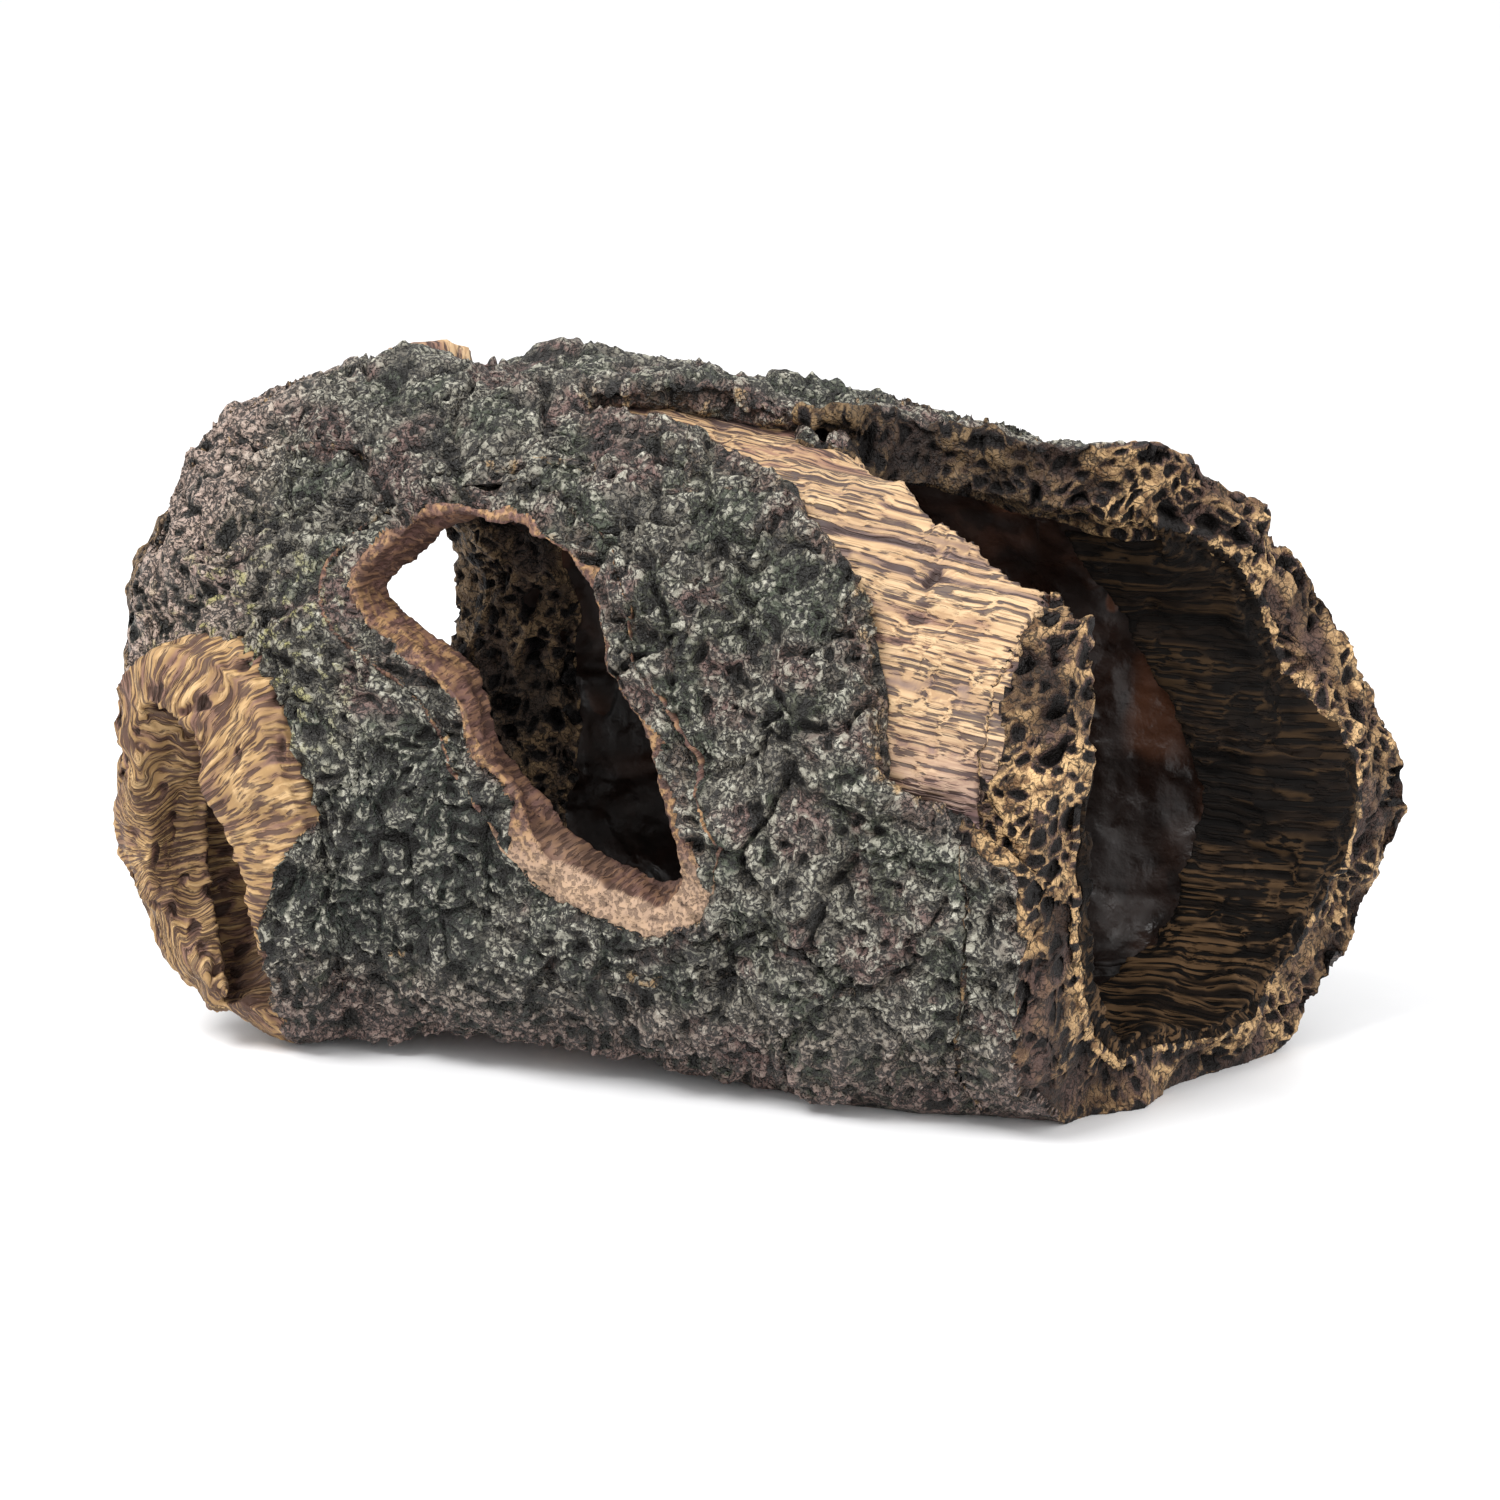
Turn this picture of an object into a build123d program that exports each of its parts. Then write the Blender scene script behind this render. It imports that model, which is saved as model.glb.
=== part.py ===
"""Hollow-log cave for an aquarium: a cast resin trunk with bark, bare wood, a window and a knot hole.

Frame, in millimetres: +Z up, +X along the trunk towards its large mouth, the front at -Y.
The origin is under the middle of the trunk, on the plane that it rests on.
"""

from build123d import *

import math
import os

# Driving dimensions --------------------------------------------------------------------------
BARK = 5.0  # thickness of the bark
WALL = 13.0  # bark and wood wall together
FLOOR = 10.0  # thickness of the floor under the hollow
SEAM = 14.0  # height of the joint between the base casting and the two walls
RIM = 11.0  # length along the trunk of the broken rim round each end
THROAT = 3.5  # thickness of the raised wood inside each mouth
RIGHT_THROAT = 27.0  # length of the throat inside the large mouth
LEFT_THROAT = 26.0  # length of the throat inside the small mouth
LIP = 7.0  # width of the worn edge round the window
COLLAR_RISE = 4.0  # how far the knot collar stands proud of the bark
LEDGE_RISE = 1.0  # and the bare wood at the rear
REACH = 160.0  # longer than any cut through the trunk
FIELD = 420.0  # wider than any cut across the trunk

# The trunk's envelope ------------------------------------------------------------------------
AXIS_Z = 61.0
LEFT_TIP = -128.0
UPPER_ROUND = 45.0  # length of the rounded left end, seen from above
LOWER_ROUND = 110.0  # length over which the underside rises towards the left end
ROUND_POWER = 2.7
UPPER_POWER = 2.2  # superellipse power of the section's upper half
LOWER_POWER = 2.8  # and of its squarer lower half
SECTION_POINTS = 16
ROUND_STEPS = [0.01, 0.045, 0.13, 0.3, 0.6, 1.0]  # stations along the rounded end
PLAIN_STATIONS = [-50.0, -15.0, 25.0, 65.0, 100.0, 135.0]

# Openings ------------------------------------------------------------------------------------
RIGHT_END = 101.5  # x of each end cut over the trunk's axis
LEFT_END = -106.5
RIGHT_SLOPE = 0.47  # x gained by the cut for each y
LEFT_SLOPE = 0.5
FOOT_TOP = 45.0  # below this the large mouth's cut leans back under the trunk
FOOT_LEAN = 0.2  # x gained by that cut for each z
HEAD_FOOT = 55.0  # above this the mouth's rear side leans back too
HEAD_LEAN = 0.4
HEAD_FRONT = 20.0  # y where the rear side begins

NOTCH = [  # plan of the broken-out roof behind the large mouth, x and y
    (150, -48),
    (76, -42),
    (49, -31),
    (28, -16),
    (24, -8),
    (31, 0),
    (69, 10),
    (95, 26),
    (101, 33),
    (150, 33),
]
NOTCH_FLOOR = 61.0  # the notch is open above this
NOTCH_RIM_FRONT = -14.0  # in front of this the notch is edged by bare wood

WINDOW = [  # front view of the window, x and z
    (-63, 101),
    (-45, 112),
    (-25, 108),
    (-5, 80),
    (7, 54),
    (5, 46),
    (-7, 45),
    (-30, 61),
    (-49, 87),
]

KNOT = Plane(origin=(-97, -53.5, 43.5), x_dir=(0.8, -0.6, 0), z_dir=(-0.6, -0.8, 0))
KNOT_HOLE = (10.5, 34.0)  # half width and half height
KNOT_HOLE_LEAN = 9.0  # degrees that its long axis leans, its top to the left
KNOT_WALL = 7.0  # depth at which the hole widens towards the left
KNOT_WIDENING = 6.0
COLLAR = (23.0, 42.5)
COLLAR_LEAN = 2.0
KNOT_DEPTH = 45.0

LEFT_MOUTH = (39.5, 33.0)  # half width and half height
LEFT_MOUTH_Y = 10.5
LEFT_MOUTH_Z = 76.0

ARCH = [(-80, 0), (-36, 6), (8, 0)]  # hollow under the front edge, x and z
ARCH_BACK = -5.0  # y of its rear end

BARE_WOOD = [  # where the bark is gone, seen square on from the front and above: x and distance up the slope
    (-27, 79),
    (8, 67),
    (33, 49),
    (40, 41),
    (47, 12),
    (66, 4),
    (98, -1),
    (150, -1),
    (150, 89),
    (31, 87),
    (-27, 82),
]
ROOF_SEAM_Y = 12.0  # the joint between the front and rear walls, under the bark
REAR_BARE_WOOD = [(-125, 12), (-74, 12), (-68, 20), (-78, 38), (-125, 44)]  # plan, by the small mouth


def trunk_middle(x):
    """The y of the trunk's middle: it bends a little from side to side."""
    return -1.5 + 3 * math.cos(math.pi * (x + 42) / 110)


def trunk_half_width(x):
    return 53 + 4 * math.cos(math.pi * (x + 17) / 160)


def trunk_top(x):
    return 132 + 5 * math.cos(math.pi * (x + 42) / 120)


def waist(x):
    """How far the foot of the section is set back behind its middle."""
    return 20 * math.exp(-(((x + 15) / 50) ** 2)) - 2


def rounding(x, inset, length):
    """Scale of a section near the rounded left end, 1 once past it."""
    reach = (LEFT_TIP + inset + length - x) / length
    if reach <= 0:
        return 1.0
    return (1 - reach**ROUND_POWER) ** (1 / ROUND_POWER)


def section_points(x, inset):
    """Points of one closed section of the trunk, inset from the bark's surface."""
    width = (trunk_half_width(x) - inset) * rounding(x, inset, UPPER_ROUND)
    above = (trunk_top(x) - AXIS_Z - inset) * rounding(x, inset, UPPER_ROUND)
    below = (trunk_top(x) - AXIS_Z - inset) * rounding(x, inset, LOWER_ROUND)
    points = []
    for index in range(SECTION_POINTS):
        angle = 2 * math.pi * (index + 0.5) / SECTION_POINTS
        across = math.cos(angle)
        up = math.sin(angle)
        power = UPPER_POWER if up > 0 else LOWER_POWER
        height = above if up > 0 else below
        y = trunk_middle(x) + width * math.copysign(abs(across) ** (2 / power), across)
        z = AXIS_Z + height * math.copysign(abs(up) ** (2 / power), up)
        if up < 0:
            y += waist(x) * up * up
        points.append((y, z))
    return points


def trunk(inset, floor):
    """The trunk's envelope, inset from the bark's surface and flat at the floor height."""
    stations = [LEFT_TIP + inset + UPPER_ROUND * step for step in ROUND_STEPS] + PLAIN_STATIONS
    with BuildPart() as body:
        for x in stations:
            with BuildSketch(Plane.YZ.offset(x)):
                with BuildLine():
                    Spline(section_points(x, inset), periodic=True)
                make_face()
        loft()
        split(bisect_by=Plane.XY.offset(floor), keep=Keep.TOP)
    return body.part


def beyond(plane, gap):
    """All the space past a cut, the cut drawn in by the gap."""
    with BuildPart() as block:
        with BuildSketch(plane.offset(-gap)):
            Rectangle(FIELD, FIELD)
        extrude(amount=REACH)
    return block.part


def right_cut(gap):
    """The space past the large mouth: a cut across the trunk that leans back at its foot and rear."""
    with BuildPart() as block:
        add(beyond(HEAD_PLANE, gap))
        split(bisect_by=Plane.XZ.offset(-HEAD_FRONT), keep=Keep.BOTTOM)
        add(beyond(RIGHT_PLANE, gap))
        add(beyond(FOOT_PLANE, gap))
    return block.part


def left_cut(gap):
    """The space past the small mouth: one oblique cut across the trunk."""
    return beyond(LEFT_PLANE, gap)


def notch(gap):
    """The broken-out roof behind the large mouth, wider by the gap all round."""
    with BuildPart() as block:
        with BuildSketch(Plane.XY.offset(NOTCH_FLOOR)):
            with BuildLine():
                Polyline(NOTCH, close=True)
            make_face()
            offset(amount=gap)
        extrude(amount=REACH)
    return block.part


def grown(outline, gap):
    """A clockwise outline with each point moved out by the gap, square to its neighbours."""
    points = []
    for index, (x, z) in enumerate(outline):
        before = outline[index - 1]
        after = outline[(index + 1) % len(outline)]
        along = Vector(after[0] - before[0], after[1] - before[1]).normalized()
        points.append((x - along.Y * gap, z + along.X * gap))
    return points


def window(gap):
    """The window through the front wall, wider by the gap all round."""
    with BuildPart() as block:
        with BuildSketch(Plane.XZ):
            with BuildLine():
                Spline(grown(WINDOW, gap), periodic=True)
            make_face()
        extrude(amount=REACH)
    return block.part


def knot_prism(half_size, lean):
    """An elliptical hole or plug through the wall at the knot."""
    with BuildPart() as block:
        with BuildSketch(KNOT.offset(-KNOT_DEPTH)):
            Ellipse(*half_size, rotation=lean)
        extrude(amount=2 * KNOT_DEPTH)
    return block.part


def knot_socket():
    """The wider inner part of the knot hole."""
    half_size = (KNOT_HOLE[0] + KNOT_WIDENING, KNOT_HOLE[1])
    with BuildPart() as block:
        with BuildSketch(KNOT.offset(-KNOT_DEPTH)):
            with Locations((-KNOT_WIDENING, 0)):
                Ellipse(*half_size, rotation=KNOT_HOLE_LEAN)
        extrude(amount=KNOT_DEPTH - KNOT_WALL)
    return block.part


def left_mouth(depth):
    """The small mouth, as deep as stated."""
    across = LEFT_MOUTH_Y * math.hypot(1, LEFT_SLOPE)
    with BuildPart() as block:
        with BuildSketch(LEFT_PLANE.offset(-depth)):
            with Locations((LEFT_MOUTH_Z, LEFT_PLANE.y_dir.Y * across)):
                Ellipse(LEFT_MOUTH[1], LEFT_MOUTH[0])
        extrude(amount=REACH)
    return block.part


def front_arch():
    """The shallow hollow under the trunk's front edge."""
    with BuildPart() as block:
        with BuildSketch(Plane.XZ.offset(-ARCH_BACK)):
            with BuildLine():
                ThreePointArc(*ARCH)
                Line(ARCH[0], ARCH[-1])
            make_face()
        extrude(amount=REACH)
    return block.part


def slope_prism(outline):
    """A prism square on to the trunk's upper front, from its axis outwards."""
    slope = Plane(origin=(0, 0, 0), x_dir=(1, 0, 0), z_dir=(0, -1, 1))
    with BuildPart() as block:
        with BuildSketch(slope.offset(AXIS_Z / math.sqrt(2))):
            with BuildLine():
                Polyline(outline, close=True)
            make_face()
        extrude(amount=REACH)
    return block.part


def roof_prism(outline):
    with BuildPart() as block:
        with BuildSketch(Plane.XY.offset(AXIS_Z + BARK)):
            with BuildLine():
                Polyline(outline, close=True)
            make_face()
        extrude(amount=REACH)
    return block.part


def seam(angle, slant):
    """A plane along the trunk's axis, at an angle up from the front and slanted along the trunk.

    Its upper side is the side towards larger angles.
    """
    turn = math.radians(angle)
    return Plane(origin=(0, 0, AXIS_Z), z_dir=(slant, math.sin(turn), math.cos(turn)))


# Cuts across the ends
RIGHT_PLANE = Plane(origin=(RIGHT_END, 0, 0), x_dir=(0, 0, 1), z_dir=(1, -RIGHT_SLOPE, 0))
HEAD_PLANE = Plane(origin=(RIGHT_END, 0, HEAD_FOOT), z_dir=(1, -RIGHT_SLOPE, HEAD_LEAN))
FOOT_PLANE = Plane(origin=(RIGHT_END, 0, FOOT_TOP), z_dir=(1, -RIGHT_SLOPE, -FOOT_LEAN))
LEFT_PLANE = Plane(origin=(LEFT_END, 0, 0), x_dir=(0, 0, 1), z_dir=(-1, LEFT_SLOPE, 0))

# Seams between the bark slabs
SKIRT = seam(-34, -0.05)
SHOULDER = seam(58, 0.08)
BROW = seam(112, -0.06)
REAR_WAIST = seam(184, 0.07)
FRONT_SPLIT = Plane(origin=(-19, 0, 79), z_dir=(66, 0, 48))
CROWN_SPLIT = Plane(origin=(-14, 0, 130), z_dir=(1, 0.35, 0))
BARK_SLABS = {
    "bark_front_left": [(SKIRT, Keep.TOP), (SHOULDER, Keep.BOTTOM), (FRONT_SPLIT, Keep.BOTTOM)],
    "bark_front_right": [(SKIRT, Keep.TOP), (SHOULDER, Keep.BOTTOM), (FRONT_SPLIT, Keep.TOP)],
    "bark_crown": [(SHOULDER, Keep.TOP), (BROW, Keep.BOTTOM), (CROWN_SPLIT, Keep.BOTTOM)],
    "bark_ridge": [(SHOULDER, Keep.TOP), (BROW, Keep.BOTTOM), (CROWN_SPLIT, Keep.TOP)],
    "bark_rear_upper": [(BROW, Keep.TOP), (REAR_WAIST, Keep.BOTTOM)],
    "bark_rear_lower": [(REAR_WAIST, Keep.TOP), (Plane.XZ, Keep.BOTTOM)],
    "bark_skirt": [(SKIRT, Keep.BOTTOM), (Plane.XZ, Keep.TOP)],
}


def finish(piece, name):
    piece.label = name
    export_step(piece, f"parts/{name}.step")


os.makedirs("parts", exist_ok=True)

# Shapes that the pieces are cut from ---------------------------------------------------------
OUTSIDE = trunk(0, 0)
WOOD = trunk(BARK, 0)
HOLLOW = trunk(WALL, FLOOR)
THROAT_HOLLOW = trunk(WALL + THROAT, FLOOR + THROAT)

with BuildPart() as openings:
    add(left_mouth(LEFT_THROAT))
    add(knot_prism(KNOT_HOLE, KNOT_HOLE_LEAN))
    add(knot_socket())
    add(window(0))
    add(notch(0))
OPENINGS = openings.part

with BuildPart() as air:
    add(HOLLOW)
    add(OPENINGS)
    add(right_cut(0))
    add(left_cut(0))
AIR = air.part

with BuildPart() as right_edge:
    add(notch(RIM))
    split(bisect_by=Plane.XZ.offset(-NOTCH_RIM_FRONT), keep=Keep.BOTTOM)
    add(right_cut(RIM))
RIGHT_EDGE = right_edge.part

with BuildPart() as bare_space:
    add(slope_prism(BARE_WOOD))
    add(WOOD, mode=Mode.SUBTRACT)
BARE_SPACE = bare_space.part

LEFT_EDGE = left_cut(RIM)
LIP_PLUG = window(LIP)
COLLAR_PLUG = knot_prism(COLLAR, COLLAR_LEAN)
ARCH_SPACE = front_arch()

# Collar, lip, rims and throats ---------------------------------------------------------------
with BuildPart() as knot_collar:
    add(trunk(-COLLAR_RISE, 0))
    add(COLLAR_PLUG, mode=Mode.INTERSECT)
    add(AIR, mode=Mode.SUBTRACT)
finish(knot_collar.part, "knot_collar")

with BuildPart() as window_lip:
    add(OUTSIDE)
    add(LIP_PLUG, mode=Mode.INTERSECT)
    add(AIR, mode=Mode.SUBTRACT)
    add(COLLAR_PLUG, mode=Mode.SUBTRACT)
finish(window_lip.part, "window_lip")

# The end cuts' rims and throats
with BuildPart() as right_rim:
    add(OUTSIDE)
    add(RIGHT_EDGE, mode=Mode.INTERSECT)
    add(AIR, mode=Mode.SUBTRACT)
    add(BARE_SPACE, mode=Mode.SUBTRACT)
finish(right_rim.part, "right_rim")

with BuildPart() as left_rim:
    add(OUTSIDE)
    add(LEFT_EDGE, mode=Mode.INTERSECT)
    add(AIR, mode=Mode.SUBTRACT)
    add(COLLAR_PLUG, mode=Mode.SUBTRACT)
finish(left_rim.part, "left_rim")

for side, cut, length in (("right", right_cut, RIGHT_THROAT), ("left", left_cut, LEFT_THROAT)):
    with BuildPart() as throat:
        add(HOLLOW)
        add(THROAT_HOLLOW, mode=Mode.SUBTRACT)
        add(cut(length), mode=Mode.INTERSECT)
        add(cut(0), mode=Mode.SUBTRACT)
        add(OPENINGS, mode=Mode.SUBTRACT)
    finish(throat.part, f"{side}_throat")

# Wood: the base casting and the two walls ----------------------------------------------------
with BuildPart() as plugs:
    add(AIR)
    add(RIGHT_EDGE)
    add(LEFT_EDGE)
    add(LIP_PLUG)
    add(COLLAR_PLUG)
PLUGS = plugs.part

with BuildPart() as wood_wall:
    add(WOOD)
    add(PLUGS, mode=Mode.SUBTRACT)
WOOD_WALL = wood_wall.part

with BuildPart() as base:
    add(WOOD_WALL)
    split(bisect_by=Plane.XY.offset(SEAM), keep=Keep.BOTTOM)
    add(ARCH_SPACE, mode=Mode.SUBTRACT)
finish(base.part, "base")

with BuildPart() as front_wall:
    add(WOOD_WALL)
    split(bisect_by=Plane.XY.offset(SEAM), keep=Keep.TOP)
    split(bisect_by=Plane.XZ.offset(-ROOF_SEAM_Y), keep=Keep.TOP)
finish(front_wall.part, "front_wall")

with BuildPart() as rear_ledge:
    add(trunk(-LEDGE_RISE, 0))
    add(roof_prism(REAR_BARE_WOOD), mode=Mode.INTERSECT)
    add(WOOD, mode=Mode.SUBTRACT)
    add(PLUGS, mode=Mode.SUBTRACT)

with BuildPart() as rear_wall:
    add(WOOD_WALL)
    split(bisect_by=Plane.XY.offset(SEAM), keep=Keep.TOP)
    split(bisect_by=Plane.XZ.offset(-ROOF_SEAM_Y), keep=Keep.BOTTOM)
    add(rear_ledge)
finish(rear_wall.part, "rear_wall")

# Bark ----------------------------------------------------------------------------------------
with BuildPart() as bark:
    add(OUTSIDE)
    add(WOOD, mode=Mode.SUBTRACT)
    add(PLUGS, mode=Mode.SUBTRACT)
    add(BARE_SPACE, mode=Mode.SUBTRACT)
    add(roof_prism(REAR_BARE_WOOD), mode=Mode.SUBTRACT)
    add(ARCH_SPACE, mode=Mode.SUBTRACT)
BARK_COAT = bark.part

for name, cuts in BARK_SLABS.items():
    with BuildPart() as slab:
        add(BARK_COAT)
        for plane, side in cuts:
            split(bisect_by=plane, keep=side)
    finish(slab.part, name)
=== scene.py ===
"""The looks of a hollow-log aquarium cave: crumbled bark, bare wood, pitted rims and a glossy hollow.

Each CAD node is copied, made dense and sculpted in place, then painted dark in the low places and pale on
the high ones:
partly the dark wash and dry brushing such castings have, partly painted shade and painted highlights.
Sculpting works in millimetres.
"""

import itertools
import math

import bpy
import numpy as np
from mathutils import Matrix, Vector
from mathutils.bvhtree import BVHTree
from mathutils.kdtree import KDTree


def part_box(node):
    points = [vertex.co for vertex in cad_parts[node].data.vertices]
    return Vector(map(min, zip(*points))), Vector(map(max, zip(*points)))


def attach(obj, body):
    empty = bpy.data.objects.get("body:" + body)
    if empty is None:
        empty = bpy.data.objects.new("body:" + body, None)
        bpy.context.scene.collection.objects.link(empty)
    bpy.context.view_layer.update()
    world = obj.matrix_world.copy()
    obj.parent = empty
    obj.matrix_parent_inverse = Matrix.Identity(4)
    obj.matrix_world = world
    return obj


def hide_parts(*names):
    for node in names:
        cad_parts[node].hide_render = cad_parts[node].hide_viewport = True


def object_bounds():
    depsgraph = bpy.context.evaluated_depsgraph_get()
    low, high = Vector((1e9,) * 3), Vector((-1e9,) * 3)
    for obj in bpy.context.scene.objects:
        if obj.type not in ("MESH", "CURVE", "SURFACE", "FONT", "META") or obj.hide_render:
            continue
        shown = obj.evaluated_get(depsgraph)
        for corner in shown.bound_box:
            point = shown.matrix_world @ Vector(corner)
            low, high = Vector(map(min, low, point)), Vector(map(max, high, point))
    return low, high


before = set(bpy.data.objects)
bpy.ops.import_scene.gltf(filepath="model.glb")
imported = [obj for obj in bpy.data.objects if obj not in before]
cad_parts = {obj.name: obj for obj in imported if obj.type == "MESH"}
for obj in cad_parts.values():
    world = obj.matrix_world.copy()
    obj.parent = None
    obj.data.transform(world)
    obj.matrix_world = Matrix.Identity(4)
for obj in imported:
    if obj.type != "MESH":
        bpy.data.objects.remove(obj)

cad_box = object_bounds()

VOXEL = 0.6  # mm, the sculpted grid
HIDDEN_VOXELS = {"base": 1.0, "rear_wall": 0.95, "front_wall": 0.82}  # mm, for pieces mostly out of sight
SMOOTH_STEPS = 2
MM = 1000.0  # in a metre
SIDE = 0.45  # a vertex that faces outwards less than this is on a side
FRACTAL_FALL = 0.55  # strength of each octave of noise over the one before
FRACTAL_SUM = 1.6  # what brings the octaves together back to about 1
WARP_LAYERS = ((2.6, 15, 40), (1.1, 5.5, 50), (0.45, 2.4, 60))  # mm of movement, mm of size, seed
OVERLAP = 0.9  # mm that touching sides swell into each other, so that no crack shows
CONTACT = 1.3  # mm, nearer than this two pieces touch
FAR = 99.0  # mm, the distance to an edge where there is none

BARK, WOOD, LIP, COLLAR, RIM, THROAT, HOLLOW = range(7)  # order of the material slots on every piece

TRUNK_AXIS_Z = 61.0
KNOT_WAY = np.array((-0.6, -0.8, 0.0))  # out of the knot hole
KNOT_TALL = 1.7  # the knot's height over its width
KNOT_RADIUS = 27.0  # mm, where the spokes have their stated width
SPOKE_LENGTH = 9.0  # how many times longer than wide the spokes are
LEDGE_LIFT = 2.2  # mm that the bare wood beside the small mouth stands up
LEDGE_RIGHT = (-58, -68)  # mm, x over which that starts
LEDGE_FOOT = (105, 118)  # and z
SILL = (58, 46)  # mm, z over which the window's lip widens into its sill
BARE_LEFT = 45.0  # mm, where the bare wood meets the large mouth's rim: x of its left side
BARE_REAR = 5.0  # and y of its rear
BARE_SLOPE = (3.0, 90.0)  # and the distances up the slope between which it lies
BARE_LUMPS = 10.0  # mm of lumps along the end of the bare wood
BARK_LUMPS = 2.0  # and along the end of the bark
COLLAR_FRONT = 0.3  # where a piece faces outwards more than this, it has the skin of its outside
LIP_SKIN = 0.6
RIM_SKIN = 0.72
HOLLOW_SIDE = -0.25  # where the wood faces outwards less than this, it is the smooth inside
WOOD_WAY = np.array((0.985, 0.0, -0.17))  # the grain sinks a little towards the large mouth
ALONG = np.array((1.0, 0.0, 0.0))  # along the trunk
INWARDS = np.array((0.0, 1.0, 0.0))  # through the window
GRAIN_LENGTHS = {"wood": 45, "throat": 26, "lip": 12}  # how many times longer than wide the grain is


# Noise ---------------------------------------------------------------------------------------
def hashed(cell, seed):
    """A repeatable random number from 0 to 1 for each whole-number cell."""
    value = cell.astype(np.uint32)
    mixed = value[:, 0] * np.uint32(73856093)
    mixed ^= value[:, 1] * np.uint32(19349663)
    mixed ^= value[:, 2] * np.uint32(83492791)
    mixed ^= np.uint32(seed * 40503 + 977)
    mixed ^= mixed >> np.uint32(15)
    mixed *= np.uint32(2246822519)
    mixed ^= mixed >> np.uint32(13)
    mixed *= np.uint32(3266489917)
    mixed ^= mixed >> np.uint32(16)
    return mixed / np.float64(4294967295)


def noise(points, size, seed):
    """Smooth noise from -1 to 1, with a new value every size."""
    scaled = points / size
    cell = np.floor(scaled).astype(np.int64)
    part = scaled - cell
    part = part * part * (3 - 2 * part)
    total = np.zeros(len(points))
    for corner in itertools.product((0, 1), repeat=3):
        weight = np.prod(np.where(corner, part, 1 - part), axis=1)
        total += weight * hashed(cell + corner, seed)
    return 2 * total - 1


def fractal(points, size, octaves, seed):
    """Noise with finer, weaker noise on top, still about -1 to 1."""
    total = np.zeros(len(points))
    weight = 1.0
    for octave in range(octaves):
        total += weight * noise(points, size / 2**octave, seed + octave)
        weight *= FRACTAL_FALL
    return total / FRACTAL_SUM


def scattered(points, size, seed):
    """Distances to the two nearest of scattered centres, in sizes, and a random number for the nearest."""
    scaled = points / size
    cell = np.floor(scaled).astype(np.int64)
    nearest = np.full(len(points), 9.0)
    second = np.full(len(points), 9.0)
    owner = np.zeros(len(points))
    for step in itertools.product((-1, 0, 1), repeat=3):
        corner = cell + step
        centre = corner + np.stack([hashed(corner, seed + axis) for axis in range(3)], axis=1)
        away = np.linalg.norm(centre - scaled, axis=1)
        closer = away < nearest
        second = np.where(closer, nearest, np.minimum(second, away))
        owner = np.where(closer, hashed(corner, seed + 3), owner)
        nearest = np.where(closer, away, nearest)
    return nearest, second, owner


def ramp(value, low, high):
    """0 below low, 1 above high, smooth between."""
    part = np.clip((value - low) / (high - low), 0, 1)
    return part * part * (3 - 2 * part)


def warp(points):
    """One wandering of all space, so that neighbouring pieces stay matched, calmer at the foot."""
    move = np.zeros_like(points)
    for axis in range(3):
        for amount, size, seed in WARP_LAYERS:
            move[:, axis] += amount * noise(points, size, seed + axis)
    move[:, 2] *= ramp(points[:, 2], 1, 14)
    return points + move


# Relief of each kind of surface, in mm, with its fine part from -1 to 1 for the paint --------
def ridges(points, size, seed):
    """Sharp-topped folds, -1 in the creases and 1 on the crests."""
    return 1 - 2.6 * np.abs(noise(points, size, seed))


def wander(points, size, amount, seed):
    """Points moved about smoothly, so that what is made of them isn't regular."""
    return points + amount * np.stack([noise(points, size, seed + axis) for axis in range(3)], axis=1)


def bark_relief(points, _):
    """Crumbled bark: broken plates at different heights, fissures between them, folds, crumbs and holes."""
    nearest, second, owner = scattered(wander(points, size=8, amount=4, seed=70), size=19, seed=5)
    fissure = (1 - ramp(second - nearest, 0.0, 0.13)) * ramp(owner, 0.35, 0.6)
    curled = wander(points, size=3, amount=1.3, seed=73)
    folds = ridges(curled, size=3.3, seed=21)
    crumbs = ridges(curled, size=1.8, seed=22)
    holes = ramp(noise(points, size=2.1, seed=25), 0.3, 0.7)
    lumps = fractal(points, size=8, octaves=2, seed=11)
    fine = 0.5 * folds + 0.6 * crumbs - 1.1 * holes - 0.7 * fissure
    plates = 2.4 * (owner - 0.5) - 2.4 * fissure
    return plates + 1.6 * lumps + 0.9 * folds + 0.5 * crumbs - 1.0 * holes, fine


def threads(grain, size):
    """Broken threads along the grain, -1 in the grooves and 1 on the ridges."""
    return 0.6 * ridges(grain, size, seed=33) + 0.6 * noise(grain, size / 2, seed=35)


def wood_relief(points, grain):
    """Weathered wood: long grooves along the grain over wider steps, with a few small knots."""
    fine = threads(grain, size=1.7)
    layers = noise(grain, size=7, seed=31)
    nearest, _, owner = scattered(points, size=21, seed=36)
    knots = (1 - ramp(nearest, 0.05, 0.1)) * ramp(owner, 0.5, 0.6)
    return 0.9 * layers + 0.32 * fine - 1.6 * knots, fine - 1.5 * knots


def lip_relief(points, grain):
    """The cut wood round the window, ribbed towards the hollow."""
    fine = threads(grain, size=1.6)
    return 0.45 * fine + 1.0 * fractal(points, size=6, octaves=2, seed=47), fine


def collar_relief(points, grain):
    """The knot's worn lip: spokes running away from the hole, with a few pits."""
    spokes = threads(grain, size=1.3)
    nearest, _, owner = scattered(points, size=4.5, seed=44)
    pits = (1 - ramp(nearest, 0.25, 0.42)) * ramp(owner, 0.55, 0.65)
    lumps = fractal(points, size=9, octaves=3, seed=47)
    return 0.5 * spokes + 1.8 * lumps - 1.4 * pits, spokes - 1.4 * pits


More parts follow.
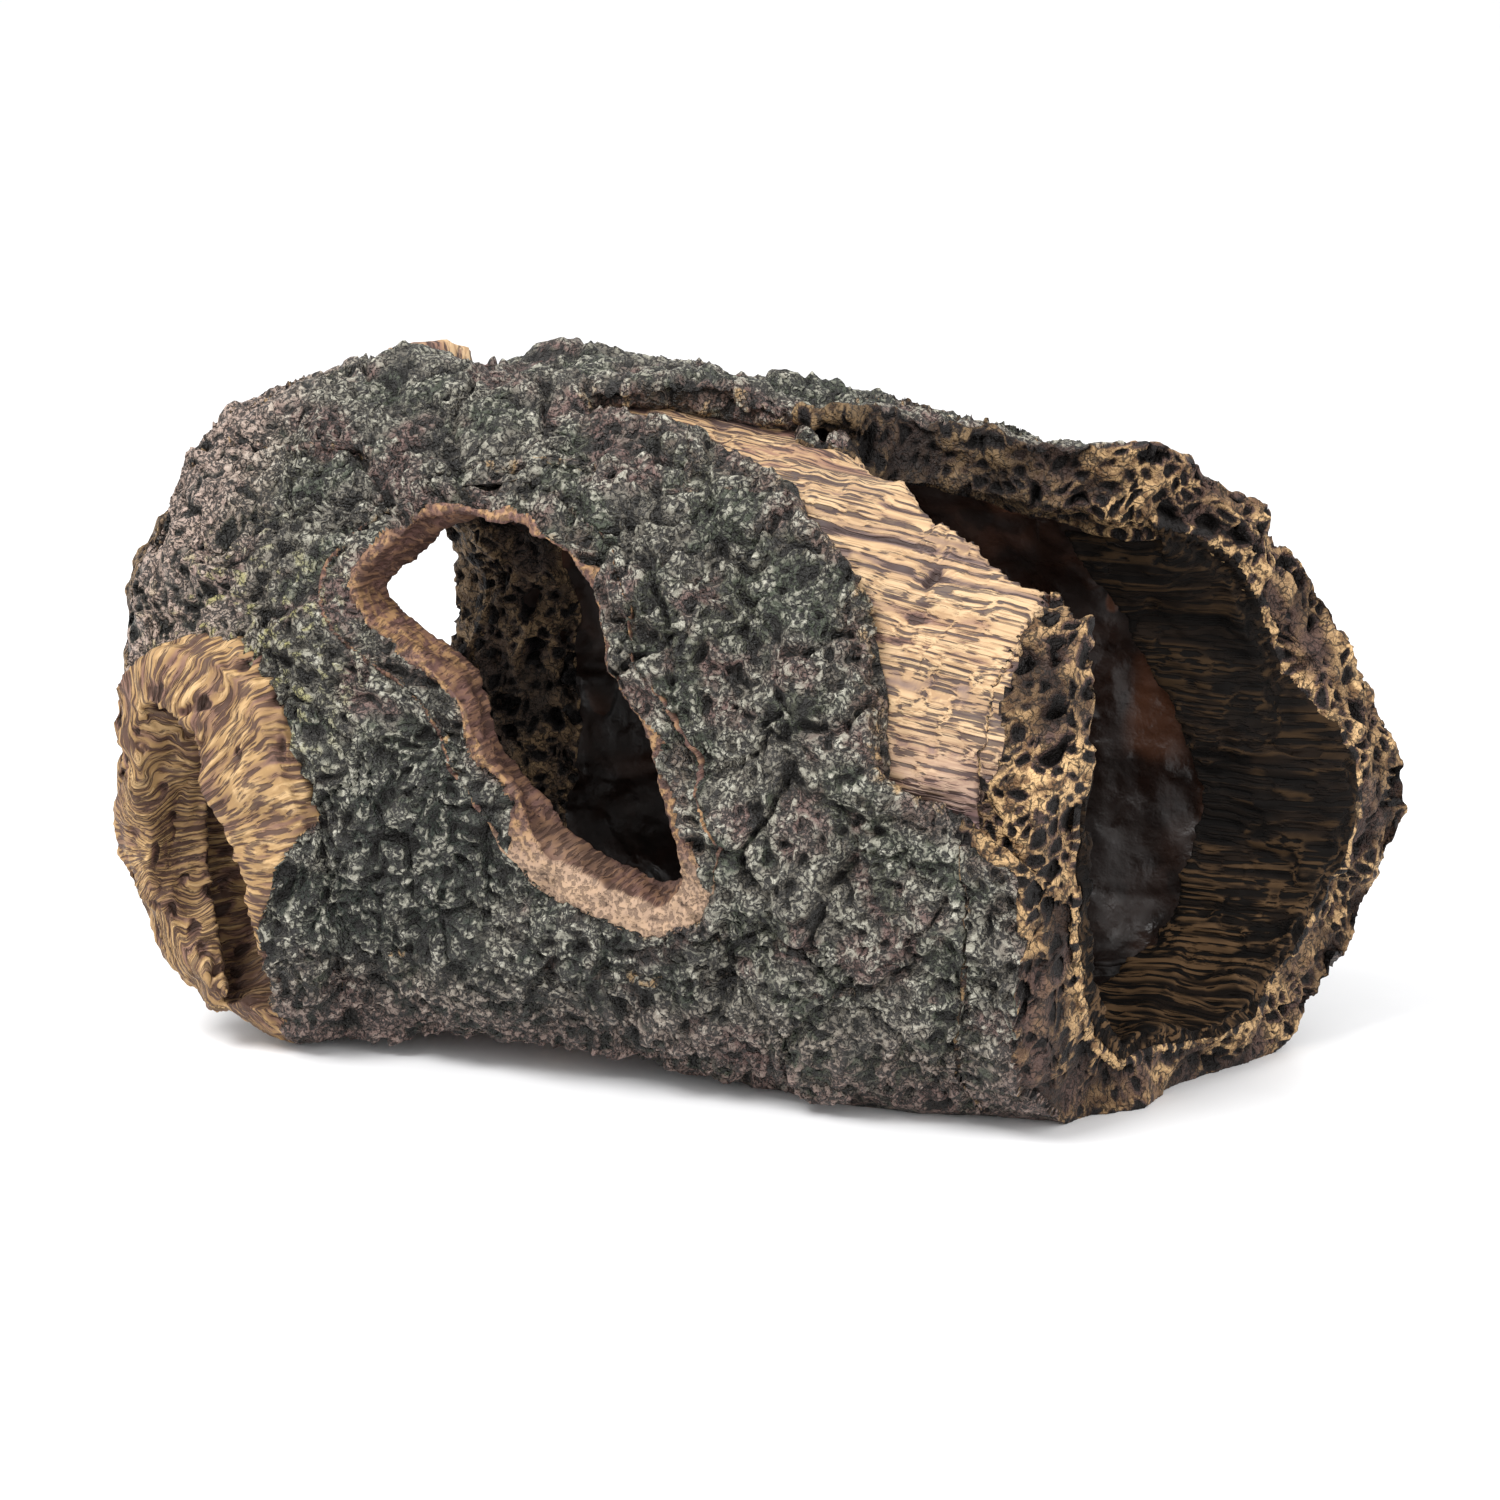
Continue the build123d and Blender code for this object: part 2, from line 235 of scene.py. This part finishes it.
def rim_relief(points, _):
    """Broken, worm-eaten wood: lumps with a honeycomb of pits and some larger round holes."""
    bent = wander(points, size=3, amount=0.8, seed=76)
    nearest, _, owner = scattered(bent, size=6.5, seed=14)
    holes = (1 - ramp(nearest, 0.24, 0.4)) * ramp(owner, 0.35, 0.45)
    close, next_close, few = scattered(bent, size=2.9, seed=18)
    pits = ramp(next_close - close, 0.12, 0.4) * ramp(few, 0.2, 0.4)
    lumps = fractal(points, size=9, octaves=3, seed=27)
    fine = 0.75 - 1.5 * pits - 1.8 * holes + 0.35 * noise(points, size=1.4, seed=29)
    return 2.8 * lumps - 3.0 * holes - 1.2 * pits, fine


def throat_relief(points, grain):
    """Dark ridged wood inside the large mouth, the ridges running inwards."""
    fine = threads(grain, size=1.8)
    return 0.6 * fine + 1.2 * noise(points, size=9, seed=37), fine


def hollow_relief(points, _):
    """The smooth cast inside, with a few shallow blisters."""
    nearest, _, owner = scattered(wander(points, size=9, amount=3, seed=56), size=17, seed=53)
    blister = (1 - ramp(nearest, 0.28, 0.42)) * ramp(owner, 0.5, 0.6)
    soft = noise(points, size=15, seed=55)
    return 0.7 * soft - 1.1 * blister, soft - blister


# The way the grain runs ----------------------------------------------------------------------
def straight_grain(points, way, length):
    """Places counted along a wavering grain, so that noise of them is drawn out along it."""
    sway = 1.1 * noise(points, size=24, seed=80) + 0.35 * noise(points, size=7, seed=81)
    wavy = points + np.outer(sway, (0.1, 0.8, 0.8))
    along = wavy @ way
    return wavy - np.outer(along * (1 - 1 / length), way)


def knot_grain(points):
    """Places counted round the knot, outwards from it and into it, so that noise of them makes spokes."""
    low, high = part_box("knot_collar")
    away = wander(points, size=11, amount=1.2, seed=83) - np.array(low + high) / 2 * MM
    side = away @ np.array((-KNOT_WAY[1], KNOT_WAY[0], 0.0)) * KNOT_TALL
    radius = np.hypot(side, away[:, 2])
    turn = np.arctan2(side, away[:, 2])
    return np.stack([turn * KNOT_RADIUS, radius / SPOKE_LENGTH, away @ KNOT_WAY / SPOKE_LENGTH], axis=1)


def grain_of(node, points):
    if node == "knot_collar":
        return knot_grain(points)
    if node == "window_lip":
        return straight_grain(points, INWARDS, GRAIN_LENGTHS["lip"])
    if node.endswith("throat"):
        return straight_grain(points, ALONG, GRAIN_LENGTHS["throat"])
    return straight_grain(points, WOOD_WAY, GRAIN_LENGTHS["wood"])


# Which kind of surface each part of a piece is -----------------------------------------------
def spoke(points):
    """The way out from the trunk's axis."""
    away = points * (0, 1, 1) - (0, 0, TRUNK_AXIS_Z)
    return away / (np.linalg.norm(away, axis=1)[:, None] + 1e-9)


def bare_patch(points):
    """Whether the bark is gone there: the upper front of the trunk's right half."""
    slope = (points[:, 1] + points[:, 2]) / math.sqrt(2) + 4 * noise(points, size=9, seed=90)
    on_slope = (slope > BARE_SLOPE[0]) & (slope < BARE_SLOPE[1])
    return (points[:, 0] > BARE_LEFT) & (points[:, 1] < BARE_REAR) & on_slope


def overgrown(points):
    """Whether bark covers the knot's lip there: its right side, more of it low down."""
    low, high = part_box("knot_collar")
    low_reach, high_reach = 5, 19
    reach = low_reach + (high_reach - low_reach) * ramp(points[:, 2], 25, 60)
    ragged = 2.5 * noise(points, size=6, seed=97)
    return points[:, 0] - (low.x + high.x) / 2 * MM > reach + ragged


def kinds_of(node, points, facing, edge):
    """The kind of surface of each vertex of a piece."""
    ragged = facing + 0.15 * noise(points, size=3, seed=95)
    broken = edge + 2 * noise(points, size=5, seed=96)
    if node.startswith("bark"):
        return np.full(len(points), BARK)
    if node == "knot_collar":
        return np.where((facing > COLLAR_FRONT) & overgrown(points), BARK, COLLAR)
    if node == "window_lip":
        worn = 1.5 + 5 * ramp(points[:, 2], *SILL)
        return np.where((ragged > LIP_SKIN) & (broken > worn), BARK, LIP)
    if node == "left_throat":
        return np.full(len(points), RIM)
    if node == "right_throat":
        return np.full(len(points), THROAT)
    if node.endswith("rim"):
        bare = bare_patch(points)
        skin = np.where(bare, WOOD, BARK)
        lumpy = np.where(bare, BARE_LUMPS, BARK_LUMPS)
        return np.where((ragged > RIM_SKIN) & (broken > lumpy), skin, RIM)
    return np.where(ragged > HOLLOW_SIDE, WOOD, HOLLOW)


RELIEFS = {
    BARK: bark_relief,
    WOOD: wood_relief,
    LIP: lip_relief,
    COLLAR: collar_relief,
    RIM: rim_relief,
    THROAT: throat_relief,
    HOLLOW: hollow_relief,
}


def relief_of(points, grain, kinds):
    """Height in mm and fine relief of each vertex, from its kind of surface."""
    height = np.zeros(len(points))
    fine = np.zeros(len(points))
    for kind, maker in RELIEFS.items():
        chosen = kinds == kind
        if chosen.any():
            height[chosen], fine[chosen] = maker(points[chosen], grain[chosen])
    return height, fine


def touching(node, points, facing):
    """Which of a piece's side and inner vertices lie against another piece."""
    corners = []
    faces = []
    for other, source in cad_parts.items():
        if other != node:
            start = len(corners)
            corners += [vertex.co * MM for vertex in source.data.vertices]
            faces += [[start + index for index in face.vertices] for face in source.data.polygons]
    tree = BVHTree.FromPolygons(corners, faces)
    touch = np.zeros(len(points), bool)
    for index in np.flatnonzero(facing < SIDE):
        touch[index] = tree.find_nearest(points[index], CONTACT)[0] is not None
    return touch


def edge_distance(points, facing, touch):
    """How far in mm each outward-facing vertex is from the piece's open sides."""
    sides = np.flatnonzero((np.abs(facing) < SIDE) & ~touch)
    distance = np.full(len(points), FAR)
    tree = KDTree(len(sides))
    for index, place in enumerate(points[sides]):
        tree.insert(place, index)
    tree.balance()
    if len(sides):
        for index in np.flatnonzero(facing >= SIDE):
            distance[index] = tree.find(points[index])[2]
    distance[facing < SIDE] = 0
    return distance


# Sculpting -----------------------------------------------------------------------------------
def dense_copy(node):
    """A copy of a CAD node as an even, smoothed grid of small faces."""
    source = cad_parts[node]
    piece = bpy.data.objects.new(f"{node}_sculpt", source.data.copy())
    bpy.context.scene.collection.objects.link(piece)
    remesh = piece.modifiers.new("grid", "REMESH")
    remesh.mode = "VOXEL"
    remesh.voxel_size = HIDDEN_VOXELS.get(node, VOXEL) / MM
    smooth = piece.modifiers.new("ease", "SMOOTH")
    smooth.factor = 0.5
    smooth.iterations = SMOOTH_STEPS
    evaluated = piece.evaluated_get(bpy.context.evaluated_depsgraph_get())
    mesh = bpy.data.meshes.new_from_object(evaluated)
    piece.modifiers.clear()
    piece.data = mesh
    mesh.name = piece.name
    return piece


def read_vectors(collection, name):
    values = np.empty(len(collection) * 3)
    collection.foreach_get(name, values)
    return values.reshape(-1, 3)


def write_floats(mesh, name, values):
    attribute = mesh.attributes.new(name, "FLOAT", "POINT")
    attribute.data.foreach_set("value", values.astype(np.float32))


def mark_for_painting(mesh, kinds, grain, values):
    """Writes what the paint reads on the vertices, and gives each face its kind's material."""
    for name, numbers in values.items():
        write_floats(mesh, name, numbers)
    attribute = mesh.attributes.new("grain", "FLOAT_VECTOR", "POINT")
    attribute.data.foreach_set("vector", grain.astype(np.float32).ravel())
    corners = np.empty(len(mesh.loops), np.int32)
    mesh.loops.foreach_get("vertex_index", corners)
    starts = np.empty(len(mesh.polygons), np.int32)
    mesh.polygons.foreach_get("loop_start", starts)
    mesh.materials.clear()
    for material in MATERIALS:
        mesh.materials.append(material)
    mesh.polygons.foreach_set("material_index", kinds[corners[starts]].astype(np.int32))
    mesh.polygons.foreach_set("use_smooth", np.ones(len(mesh.polygons), bool))
    mesh.update()


def sculpt(node):
    """The finished piece for a CAD node: warped, carved in its relief and marked for painting."""
    piece = dense_copy(node)
    mesh = piece.data
    points = read_vectors(mesh.vertices, "co") * MM
    normals = read_vectors(mesh.vertices, "normal")
    out = spoke(points)
    facing = np.sum(out * normals, axis=1)
    touch = touching(node, points, facing)
    edge = edge_distance(points, facing, touch)
    kinds = kinds_of(node, points, facing, edge)
    bent = warp(points)
    grain = grain_of(node, bent)
    height, fine = relief_of(points, grain, kinds)
    if node == "rear_wall":
        height += LEDGE_LIFT * ramp(points[:, 0], *LEDGE_RIGHT) * ramp(points[:, 2], *LEDGE_FOOT)
    height[touch] = OVERLAP
    square = ramp(facing, 0.0, 0.5)[:, None]
    way = out * square + normals * (1 - square)
    ground = ramp(points[:, 2], 0.3, 4)
    moved = bent + way * (height * ground)[:, None]
    moved[:, 2] = np.maximum(moved[:, 2], 0)
    mesh.vertices.foreach_set("co", (moved / MM).ravel())
    mark_for_painting(mesh, kinds, grain, {"fine": fine, "height": height, "facing": facing, "edge": edge})
    return piece


# Paint ---------------------------------------------------------------------------------------
def linear(web):
    """A colour for Blender from a web colour such as #c8964f."""
    parts = [int(web[start : start + 2], 16) / 255 for start in (1, 3, 5)]
    return [part / 12.92 if part < 0.04 else ((part + 0.055) / 1.055) ** 2.4 for part in parts] + [1.0]


class Paint:
    """A painted finish: a base colour with other colours laid over it through masks, among them painted
    shade and painted highlights.
    """

    def __init__(self, name, base, roughness, shine=0.5):
        self.material = bpy.data.materials.new(name)
        self.material.use_nodes = True
        self.tree = self.material.node_tree
        self.shader = self.tree.nodes["Principled BSDF"]
        self.shader.inputs["Roughness"].default_value = roughness
        self.shader.inputs["Specular IOR Level"].default_value = shine
        self.place = self.add("ShaderNodeTexCoord").outputs["Object"]
        self.colour = linear(base)

    def add(self, kind, values=None, **settings):
        """A new node with its settings made and its inputs set or linked."""
        node = self.tree.nodes.new(kind)
        for name, setting in settings.items():
            setattr(node, name, setting)
        for name, value in (values or {}).items():
            if isinstance(value, bpy.types.NodeSocket):
                self.tree.links.new(value, node.inputs[name])
            else:
                node.inputs[name].default_value = value
        return node

    def ramp(self, value, low, high):
        """0 where the value is below low, 1 above high; the other way round if low is the larger."""
        limits = {"Value": value, "From Min": low, "From Max": high}
        return self.add("ShaderNodeMapRange", limits, interpolation_type="SMOOTHSTEP").outputs["Result"]

    def carved(self, name, low, high):
        """A mask from what the sculpting wrote on the vertices."""
        value = self.add("ShaderNodeAttribute", attribute_name=name).outputs["Fac"]
        return self.ramp(value, low, high)

    def spread(self, size, seed, drawn=(1, 1, 1)):
        """Places counted in sizes of so many mm, drawn out by a factor along each axis."""
        scale = [MM / size / factor for factor in drawn]
        shift = [7.3 * seed, 3.1 * seed, 5.7 * seed]
        values = {"Vector": self.place, "Scale": scale, "Location": shift}
        return self.add("ShaderNodeMapping", values).outputs["Vector"]

    def blotches(self, size, low, high, drawn=(1, 1, 1), seed=1):
        """A mask of soft patches."""
        values = {"Vector": self.spread(size, seed, drawn), "Scale": 1.0, "Detail": 3.0}
        return self.ramp(self.add("ShaderNodeTexNoise", values).outputs["Fac"], low, high)

    def spots(self, size, low, high, seed=1):
        """A mask of round spots: 1 in the middle of each scattered cell where low is the larger."""
        values = {"Vector": self.spread(size, seed), "Scale": 1.0}
        return self.ramp(self.add("ShaderNodeTexVoronoi", values).outputs["Distance"], low, high)

    def folds(self, size, seed=1):
        """Crumpled folds: 0 along thin creases, rising to 1 between them."""
        values = {"Vector": self.spread(size, seed), "Scale": 1.0, "Detail": 2.0, "Distortion": 0.4}
        wave = self.add("ShaderNodeTexNoise", values).outputs["Fac"]
        offset = self.add("ShaderNodeMath", {0: wave, 1: 0.5}, operation="SUBTRACT").outputs[0]
        size_of = self.add("ShaderNodeMath", {0: offset}, operation="ABSOLUTE").outputs[0]
        return self.ramp(size_of, 0.0, 0.16)

    def threads(self, size, seed=1):
        """A mask of fine threads that follow the grain: 0 in thin grooves, rising to 1 between them."""
        grain = self.add("ShaderNodeAttribute", attribute_name="grain").outputs["Vector"]
        places = {"Vector": grain, "Scale": [1 / size] * 3, "Location": [seed * 4.1] * 3}
        moved = self.add("ShaderNodeMapping", places)
        values = {"Vector": moved.outputs["Vector"], "Scale": 1.0, "Detail": 2.0}
        return self.ramp(self.add("ShaderNodeTexNoise", values).outputs["Fac"], 0.4, 0.54)

    def near(self, middle, low, high):
        """A mask by distance in mm from a point."""
        values = {0: self.place, 1: [part / MM for part in middle]}
        distance = self.add("ShaderNodeVectorMath", values, operation="DISTANCE").outputs["Value"]
        return self.ramp(distance, low / MM, high / MM)

    def along(self, axis, low, high):
        """A mask by place in mm along an axis."""
        parts = self.add("ShaderNodeSeparateXYZ", {"Vector": self.place})
        return self.ramp(parts.outputs[axis], low / MM, high / MM)

    def both(self, *masks):
        """Where all the masks are."""
        whole = masks[0]
        for mask in masks[1:]:
            whole = self.add("ShaderNodeMath", {0: whole, 1: mask}, operation="MULTIPLY").outputs[0]
        return whole

    def brush(self, colour, mask, strength=1.0):
        """Lays a colour over what is there, through a mask."""
        amount = self.both(mask, strength) if strength < 1 else mask
        values = {0: amount, 6: self.colour, 7: linear(colour)}
        self.colour = self.add("ShaderNodeMix", values, data_type="RGBA").outputs[2]

    def sheen_of(self, mask, rough, glossy):
        """Roughness that goes from rough to glossy through a mask."""
        values = {"Value": mask, "To Min": rough, "To Max": glossy}
        result = self.add("ShaderNodeMapRange", values).outputs["Result"]
        self.tree.links.new(result, self.shader.inputs["Roughness"])

    def bump(self, mask, depth):
        """Fine relief of a depth in mm."""
        values = {"Height": mask, "Distance": depth / MM, "Strength": 1.0}
        before = self.shader.inputs["Normal"].links
        if before:
            values["Normal"] = before[0].from_socket
        node = self.add("ShaderNodeBump", values)
        self.tree.links.new(node.outputs["Normal"], self.shader.inputs["Normal"])

    def done(self):
        self.tree.links.new(self.colour, self.shader.inputs["Base Color"])
        return self.material


def bark_paint():
    """Grey-green bark with black pits and pale crumbs, partly paint and partly painted shade and painted
    glints, purple-brown edges and mossy dry brushing.
    """
    paint = Paint("bark_paint", "#69645a", 0.5)
    crumbs = paint.folds(1.6, seed=7)
    paint.brush("#775a55", paint.blotches(18, 0.48, 0.58, seed=2), 0.75)
    paint.brush("#3b4434", paint.blotches(13, 0.48, 0.58, seed=3), 0.85)
    by_edge = paint.both(paint.carved("edge", 9, 1), paint.blotches(7, 0.38, 0.6, seed=11))
    paint.brush("#755d55", by_edge, 0.8)
    low_left = paint.near(low_point("bark_front_left"), 75, 36)
    paint.brush("#18221a", paint.both(low_left, paint.blotches(11, 0.3, 0.48, seed=4)), 0.85)
    # Pale on the raised crumbs and in small specks: partly dry-brushed paint, partly painted highlights and
    # glints.
    paint.brush("#a19e8f", paint.both(paint.carved("fine", -0.1, 0.6), crumbs), 0.75)
    pale = paint.both(paint.carved("fine", 0.2, 0.9), paint.blotches(1.8, 0.5, 0.6, seed=5))
    paint.brush("#c2bfb0", pale, 0.75)
    paint.brush("#7d5f59", paint.both(paint.along("Z", 30, 3), paint.carved("fine", -0.3, 0.5)), 0.75)
    paint.brush("#b79f92", paint.both(paint.along("X", -80, -104), paint.carved("fine", -0.6, 0.2)), 0.85)
    tan_edge = paint.both(paint.carved("edge", 2.0, 0), paint.blotches(4, 0.45, 0.6, seed=9))
    paint.brush("#a98657", paint.both(tan_edge, paint.carved("fine", 0.0, 0.6)), 0.8)
    by_knot = paint.near(high_point("knot_collar"), 36, 12)
    moss = paint.both(by_knot, paint.carved("fine", 0.1, 0.7), paint.blotches(3, 0.42, 0.58, seed=10))
    paint.brush("#9a9455", moss, 0.8)
    # Near-black in the pits, fissures, creases and small round holes: partly dark paint, partly painted
    # shade.
    paint.brush("#15120e", paint.carved("fine", -0.15, -0.75), 0.95)
    paint.brush("#15120f", paint.ramp(crumbs, 0.4, 0.0), 0.92)
    paint.brush("#14110f", paint.spots(2.4, 0.32, 0.16, seed=6), 0.9)
    paint.bump(crumbs, 0.6)
    paint.bump(paint.blotches(0.6, 0.3, 0.7, seed=8), 0.3)
    return paint.done()


def wood_paint():
    """Bare weathered wood: cream ridges over grey-purple grooves, with pink-brown patches."""
    paint = Paint("wood_paint", "#6a5653", 0.62)
    fibres = paint.threads(0.8, seed=12)
    paint.brush("#8a6252", paint.blotches(24, 0.46, 0.6, drawn=(2, 1, 1), seed=11), 0.75)
    paint.brush("#ae8c66", paint.both(fibres, paint.carved("fine", -0.7, 0.1)), 0.9)
    paint.brush("#cdae86", paint.both(paint.threads(0.5, seed=13), paint.carved("fine", -0.3, 0.5)), 0.8)
    low_down = paint.both(paint.along("Z", 86, 62), paint.blotches(12, 0.3, 0.5, seed=14))
    paint.brush("#80676a", low_down, 0.75)
    paint.brush("#35241f", paint.carved("fine", -0.4, -0.9), 0.85)
    paint.brush("#3a2925", paint.ramp(fibres, 0.45, 0.0), 0.85)
    paint.bump(fibres, 0.35)
    return paint.done()


def lip_paint():
    """Cut wood round the window: ribs of purple-brown and ochre, with a paler sill."""
    paint = Paint("lip_paint", "#553e37", 0.62, shine=0.3)
    ribs = paint.threads(0.8, seed=21)
    paint.brush("#70534c", paint.blotches(9, 0.42, 0.6, seed=22), 0.8)
    paint.brush("#8c6a4e", paint.both(paint.carved("fine", -0.2, 0.6), ribs), 0.55)
    outer = paint.both(paint.carved("facing", 0.1, 0.5), paint.blotches(2, 0.46, 0.6, seed=23))
    paint.brush("#a8845a", outer, 0.7)
    paint.brush("#b0947c", paint.both(paint.along("Z", *SILL), paint.carved("facing", -0.4, 0.3)), 0.8)
    paint.brush("#2a1c16", paint.carved("fine", -0.5, -1.1), 0.75)
    paint.brush("#33231c", paint.ramp(ribs, 0.3, 0.0), 0.55)
    paint.bump(ribs, 0.3)
    return paint.done()


def collar_paint():
    """The knot's lip: ochre spokes over purple-brown, with painted shade inside the hole."""
    paint = Paint("collar_paint", "#6b4f44", 0.62, shine=0.3)
    spokes = paint.threads(0.7, seed=24)
    paint.brush("#876758", paint.blotches(9, 0.42, 0.6, seed=25), 0.8)
    paint.brush("#a68557", paint.both(paint.carved("fine", -0.7, 0.2), spokes), 0.8)
    paint.brush("#ceac7e", paint.both(paint.carved("fine", 0.1, 0.8), paint.threads(0.45, seed=26)), 0.75)
    # Darker where the lip faces into the hole: painted shade.
    paint.brush("#4a332b", paint.carved("facing", 0.1, -0.4), 0.6)
    paint.brush("#2b1d17", paint.carved("fine", -0.6, -1.3), 0.85)
    paint.brush("#3a2920", paint.ramp(spokes, 0.4, 0.0), 0.7)
    paint.bump(spokes, 0.5)
    return paint.done()


def rim_paint():
    """Worm-eaten broken wood: black pits and holes with tan and ochre edges, partly paint and partly
    painted shade in the hollows and painted highlights on the lumps.
    """
    paint = Paint("rim_paint", "#2b1d17", 0.65, shine=0.3)
    paint.brush("#604a43", paint.blotches(14, 0.45, 0.6, seed=31), 0.7)
    # Tan and pale ochre on the raised lumps: partly dry-brushed paint, partly painted highlights.
    tops = paint.both(paint.carved("fine", 0.3, 0.75), paint.carved("height", -1.5, 1.0))
    paint.brush("#7f5f3e", tops, 0.8)
    raised = paint.both(paint.carved("fine", 0.3, 0.8), paint.carved("height", -1.0, 1.4))
    paint.brush("#d8b280", paint.both(raised, paint.blotches(3, 0.36, 0.52, seed=32)), 0.9)
    notch_tip = paint.both(paint.along("X", 76, 52), paint.along("X", 0, 20))
    paint.brush("#1c130e", notch_tip, 0.75)
    small_mouth = paint.along("X", -40, -56)
    paint.brush("#4a4037", small_mouth, 0.6)
    # Near-black in the pits, holes and creases: partly dark paint, partly painted shade.
    paint.brush("#0b0706", paint.carved("fine", 0.2, -0.3), 0.97)
    paint.brush("#120c09", paint.ramp(paint.folds(2.2, seed=34), 0.3, 0.0), 0.8)
    paint.bump(paint.folds(1.4, seed=33), 0.45)
    return paint.done()


def throat_paint():
    """Dark olive-brown ridges, with a little tan on their tops and paler ridges low down that are painted
    light.
    """
    paint = Paint("throat_paint", "#100a06", 0.85, shine=0.15)
    fibres = paint.threads(0.9, seed=42)
    paint.brush("#1b120b", paint.blotches(11, 0.45, 0.6, drawn=(2, 1, 1), seed=41), 0.8)
    paint.brush("#3a2a19", paint.both(paint.carved("fine", 0.1, 0.7), fibres), 0.7)
    # Paler tan on the ridges low in the mouth, where its lower inside faces up: painted light.
    low_down = paint.both(paint.along("Z", 50, 20), paint.carved("fine", -0.1, 0.5), fibres)
    paint.brush("#6a5138", low_down, 0.6)
    paint.brush("#050302", paint.carved("fine", -0.2, -0.7), 0.9)
    paint.brush("#060403", paint.ramp(fibres, 0.4, 0.0), 0.8)
    paint.bump(fibres, 0.5)
    return paint.done()


def hollow_paint():
    """The glossy dark red-brown inside of the casting, darker low down with painted shade."""
    paint = Paint("hollow_paint", "#1f110b", 0.4, shine=0.35)
    paint.brush("#3d281f", paint.blotches(17, 0.44, 0.64, drawn=(1.6, 1, 1), seed=51), 0.8)
    paint.brush("#120704", paint.blotches(9, 0.48, 0.62, seed=52), 0.75)
    blister_edge = paint.both(paint.carved("fine", -0.2, -0.5), paint.carved("fine", -1.0, -0.6))
    paint.brush("#6b432e", blister_edge, 0.6)
    paint.brush("#0a0402", paint.carved("fine", -0.6, -1.1), 0.8)
    # Darker low down in the hollow: painted shade.
    paint.brush("#0d0604", paint.along("Z", 85, 55), 0.65)
    paint.sheen_of(paint.blotches(8, 0.35, 0.65, seed=53), 0.6, 0.35)
    paint.bump(paint.blotches(3.5, 0.3, 0.7, seed=54), 0.2)
    return paint.done()


def low_point(node):
    """The middle of a node's low edge, in mm."""
    low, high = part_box(node)
    return ((low.x + high.x) / 2 * MM, low.y * MM, low.z * MM)


def high_point(node):
    """The middle of a node's high edge, in mm."""
    low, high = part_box(node)
    return ((low.x + high.x) / 2 * MM, low.y * MM, high.z * MM)


# Stage ---------------------------------------------------------------------------------------
def floor():
    """A wide pale floor with a faint mottling."""
    half = 8.0
    mesh = bpy.data.meshes.new("floor")
    corners = [(-half, -half, 0), (half, -half, 0), (half, half, 0), (-half, half, 0)]
    mesh.from_pydata(corners, [], [(0, 1, 2, 3)])
    plane = bpy.data.objects.new("floor", mesh)
    bpy.context.scene.collection.objects.link(plane)
    paint = Paint("floor_paint", "#f7f7f8", 0.5)
    paint.brush("#f5f5f6", paint.blotches(40, 0.4, 0.6, seed=61))
    mesh.materials.append(paint.done())


def lamp(name, place, size, power):
    """A soft square light that shines at the middle of the object."""
    data = bpy.data.lights.new(name, "AREA")
    data.energy = power
    data.size = size
    light = bpy.data.objects.new(name, data)
    light.location = place
    aim = (Vector(cad_box[0]) + Vector(cad_box[1])) / 2
    light.rotation_euler = (aim - light.location).to_track_quat("-Z", "Y").to_euler()
    bpy.context.scene.collection.objects.link(light)


def sky():
    """A plain white surround."""
    world = bpy.data.worlds.new("studio")
    world.use_nodes = True
    world.node_tree.nodes["Background"].inputs["Color"].default_value = (1, 1, 1, 1)
    world.node_tree.nodes["Background"].inputs["Strength"].default_value = 1.08
    bpy.context.scene.world = world
    bpy.context.scene.view_settings.view_transform = "Standard"


def camera(azimuth=20.0, elevation=14.0, distance=0.8, lens=96.0, aim_shift=(0.0026, -0.0076, -0.0064)):
    """Looks down on the front from a little to the right."""
    data = bpy.data.cameras.new("camera")
    data.lens = lens
    eye = bpy.data.objects.new("camera", data)
    turn, tilt = math.radians(azimuth), math.radians(elevation)
    back = Vector((math.sin(turn) * math.cos(tilt), -math.cos(turn) * math.cos(tilt), math.sin(tilt)))
    aim = (Vector(cad_box[0]) + Vector(cad_box[1])) / 2 + Vector(aim_shift)
    eye.location = aim + back * distance
    eye.rotation_euler = back.to_track_quat("Z", "Y").to_euler()
    bpy.context.scene.collection.objects.link(eye)
    bpy.context.scene.camera = eye


MATERIALS = [
    bark_paint(),
    wood_paint(),
    lip_paint(),
    collar_paint(),
    rim_paint(),
    throat_paint(),
    hollow_paint(),
]

for node in sorted(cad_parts):
    piece = sculpt(node)
    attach(piece, "root")
    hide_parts(node)

floor()
sky()
lamp("key", (-0.45, -0.8, 1.3), 0.6, 21)
lamp("fill", (1.2, -0.6, 0.7), 0.9, 7)
camera()
